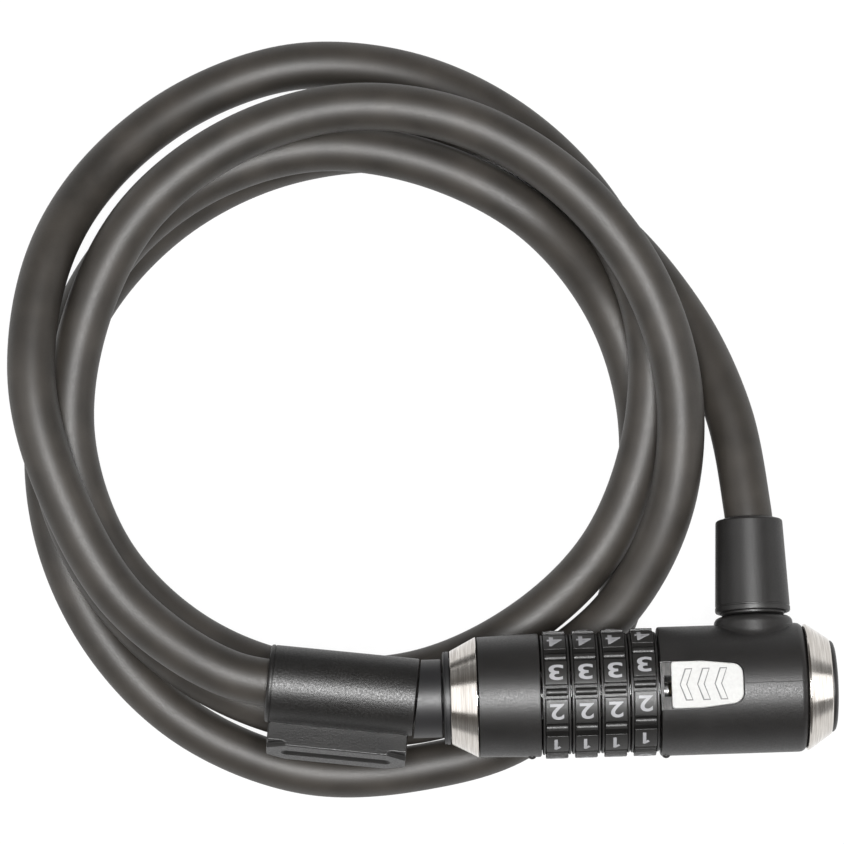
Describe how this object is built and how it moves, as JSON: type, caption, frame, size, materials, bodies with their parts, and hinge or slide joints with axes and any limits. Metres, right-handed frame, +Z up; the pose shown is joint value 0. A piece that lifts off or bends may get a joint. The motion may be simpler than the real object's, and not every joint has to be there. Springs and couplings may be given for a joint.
{
  "type": "bicycle cable lock",
  "caption": "Combination cable lock: a barrel body with number dials and a reset slider, its long coated cable coiled under it and plugged into the body.",
  "frame": {"origin": "middle of the lock body's length, on the axis its dials turn about", "axes": "+X along the lock body towards its end button, +Y towards the side the cable leaves by, +Z up; the lock lies level on its coiled cable and the surface is 37 mm below the origin"},
  "size_m": [0.204, 0.1939, 0.0539],
  "materials": {
    "housing": "satin black, finely textured",
    "carrier": "matte black with a coarse sparkling grain",
    "dial": "satin dark grey with pale grey digits",
    "trim_steel": "brushed round the axis",
    "lock_steel": "plain hardened steel",
    "wheel_brass": "machined",
    "slider_silver": "silver, satin",
    "cable_jacket": "matte dark grey vinyl"
  },
  "bodies": {
    "lock_body": {"main_housing": "housing", "slide_plate": "lock_steel", "rear_steel_ring": "trim_steel", "end_button": "housing", "core_tube": "lock_steel", "core_nut": "lock_steel", "front_housing": "housing", "front_steel_ring": "trim_steel", "socket_bush": "housing", "reset_spring": "lock_steel", "ejector_plunger": "wheel_brass", "ejector_spring": "lock_steel", "spring_seat": "lock_steel", "swivel_saddle": "housing", "cable": "cable_jacket"},
    "dial_1": {"number_dial_1": "dial", "code_wheel_1": "wheel_brass"},
    "dial_2": {"number_dial_2": "dial", "code_wheel_2": "wheel_brass"},
    "dial_3": {"number_dial_3": "dial", "code_wheel_3": "wheel_brass"},
    "dial_4": {"number_dial_4": "dial", "code_wheel_4": "wheel_brass"},
    "reset_slider": {"slider_tab": "slider_silver", "reset_collar": "lock_steel"},
    "cable_swivel": {"swivel_neck": "housing", "swivel_clip": "lock_steel", "strain_relief_sleeve": "housing", "cable_ferrule": "lock_steel"},
    "plug": {"plug_pin": "lock_steel", "plug_collar": "housing", "plug_ferrule": "lock_steel", "carrier_sleeve": "carrier"}
  },
  "joints": [
    {"name": "dial_1_turn", "type": "hinge", "parent": "lock_body", "child": "dial_1", "pos_m": [-0.02125, 0, 0], "axis": [1, 0, 0], "continuous": true},
    {"name": "dial_2_turn", "type": "hinge", "parent": "lock_body", "child": "dial_2", "pos_m": [-0.01395, 0, 0], "axis": [1, 0, 0], "continuous": true},
    {"name": "dial_3_turn", "type": "hinge", "parent": "lock_body", "child": "dial_3", "pos_m": [-0.00665, 0, 0], "axis": [1, 0, 0], "continuous": true},
    {"name": "dial_4_turn", "type": "hinge", "parent": "lock_body", "child": "dial_4", "pos_m": [0.00065, 0, 0], "axis": [1, 0, 0], "continuous": true},
    {"name": "slider_reset", "type": "slide", "parent": "lock_body", "child": "reset_slider", "axis": [-1, 0, 0], "range_m": [0, 0.0023]},
    {"name": "swivel_turn", "type": "hinge", "parent": "lock_body", "child": "cable_swivel", "pos_m": [0.029, 0, 0], "axis": [0, 0.9877, -0.1564], "continuous": true},
    {"name": "plug_release", "type": "slide", "parent": "lock_body", "child": "plug", "axis": [-1, 0, 0], "range_m": [0, 0.06], "deforming": ["cable"]}
  ]
}
